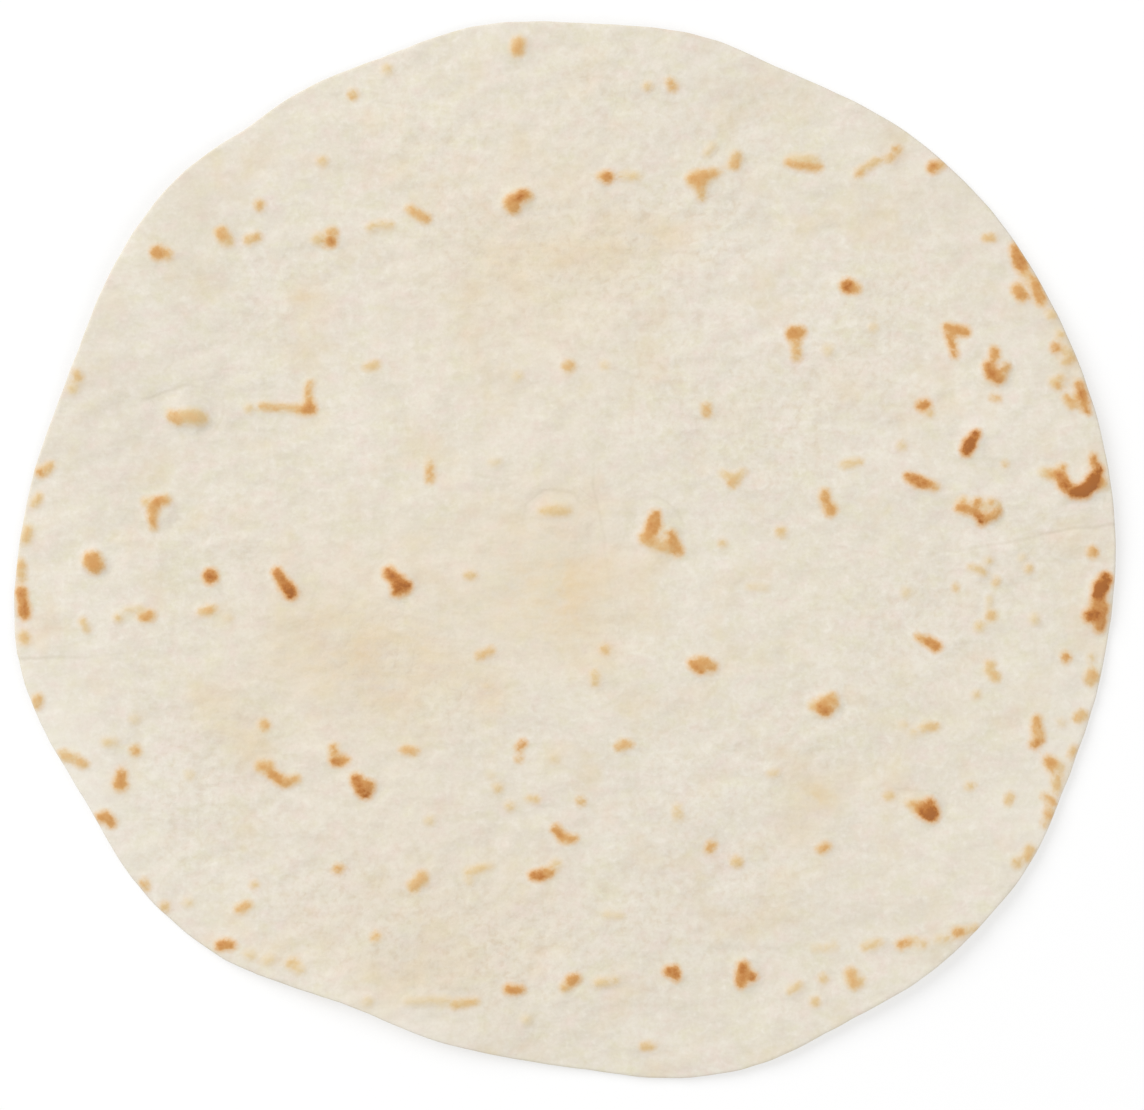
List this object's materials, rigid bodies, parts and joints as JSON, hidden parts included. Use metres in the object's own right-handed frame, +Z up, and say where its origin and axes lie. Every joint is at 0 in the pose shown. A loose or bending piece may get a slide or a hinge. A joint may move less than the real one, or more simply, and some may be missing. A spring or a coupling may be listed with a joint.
{
  "type": "saj bread",
  "caption": "Thin, almost round flatbread with a soft wavy rim, a pale speckled crust and small toasted blisters, lying flat.",
  "frame": {"origin": "under the middle of the bread's box, on the surface that it rests on", "axes": "+Z up through the bread's thickness, +X along its longest width, +Y across it"},
  "size_m": [0.3, 0.288, 0.006],
  "materials": {
    "crust": "matte"
  },
  "bodies": {
    "root": {"bread": "crust"}
  },
  "joints": []
}
